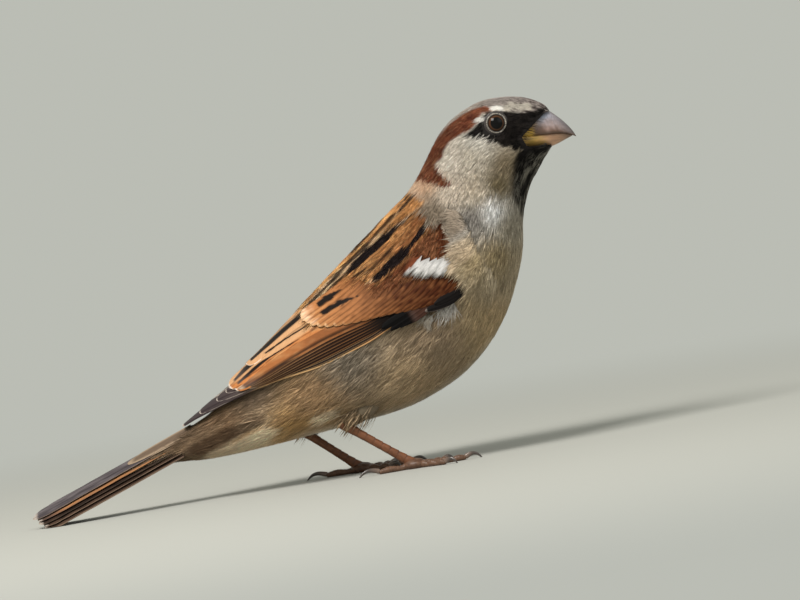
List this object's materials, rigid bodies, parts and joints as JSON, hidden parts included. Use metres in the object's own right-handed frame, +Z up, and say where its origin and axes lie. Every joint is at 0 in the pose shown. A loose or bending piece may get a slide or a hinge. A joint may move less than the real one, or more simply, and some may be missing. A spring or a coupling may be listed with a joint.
{
  "type": "house sparrow",
  "caption": "Life-size male house sparrow standing alert in profile, wings folded, head up, tail laid back to the ground.",
  "frame": {"origin": "on the floor, under the middle of the bird's overall length and width", "axes": "+X the way the bird faces, +Y its left side, +Z up"},
  "size_m": [0.1458, 0.0392, 0.0853],
  "materials": {
    "plumage_grey": "soft contour feathers, grey-buff; the true pattern is in the visual model",
    "plumage_brown": "smooth covert feathers, chestnut; the true pattern is in the visual model",
    "flight_feather": "stiff vaned feathers with a low sheen, dark brown",
    "bill_horn": "horn, satin",
    "eye": "wet gloss, near black",
    "leg_skin": "scaled skin, satin",
    "claw_horn": "horn, satin, dark"
  },
  "bodies": {
    "root": {"alula_left": "flight_feather", "alula_right": "flight_feather", "bill_lower": "bill_horn", "bill_upper": "bill_horn", "claw_hallux_left": "claw_horn", "claw_hallux_right": "claw_horn", "claw_inner_toe_left": "claw_horn", "claw_inner_toe_right": "claw_horn", "claw_middle_toe_left": "claw_horn", "claw_middle_toe_right": "claw_horn", "claw_outer_toe_left": "claw_horn", "claw_outer_toe_right": "claw_horn", "eye_left": "eye", "eye_right": "eye", "foot_left": "leg_skin", "foot_right": "leg_skin", "greater_coverts_left": "plumage_brown", "greater_coverts_right": "plumage_brown", "hallux_left": "leg_skin", "hallux_right": "leg_skin", "head": "plumage_grey", "inner_toe_left": "leg_skin", "inner_toe_right": "leg_skin", "middle_toe_left": "leg_skin", "middle_toe_right": "leg_skin", "neck": "plumage_grey", "outer_toe_left": "leg_skin", "outer_toe_right": "leg_skin", "primaries_left": "flight_feather", "primaries_right": "flight_feather", "primary_coverts_left": "flight_feather", "primary_coverts_right": "flight_feather", "rectrices_2_3_left": "flight_feather", "rectrices_2_3_right": "flight_feather", "rectrices_4_5_left": "flight_feather", "rectrices_4_5_right": "flight_feather", "rectrix_1_left": "flight_feather", "rectrix_1_right": "flight_feather", "rectrix_6_left": "flight_feather", "rectrix_6_right": "flight_feather", "rump": "plumage_grey", "scapulars_left": "plumage_brown", "scapulars_right": "plumage_brown", "secondaries_left": "plumage_brown", "secondaries_right": "plumage_brown", "shoulder_coverts_left": "plumage_brown", "shoulder_coverts_right": "plumage_brown", "tarsus_left": "leg_skin", "tarsus_right": "leg_skin", "tertials_left": "plumage_brown", "tertials_right": "plumage_brown", "thigh_left": "plumage_grey", "thigh_right": "plumage_grey", "trunk": "plumage_grey"}
  },
  "joints": []
}
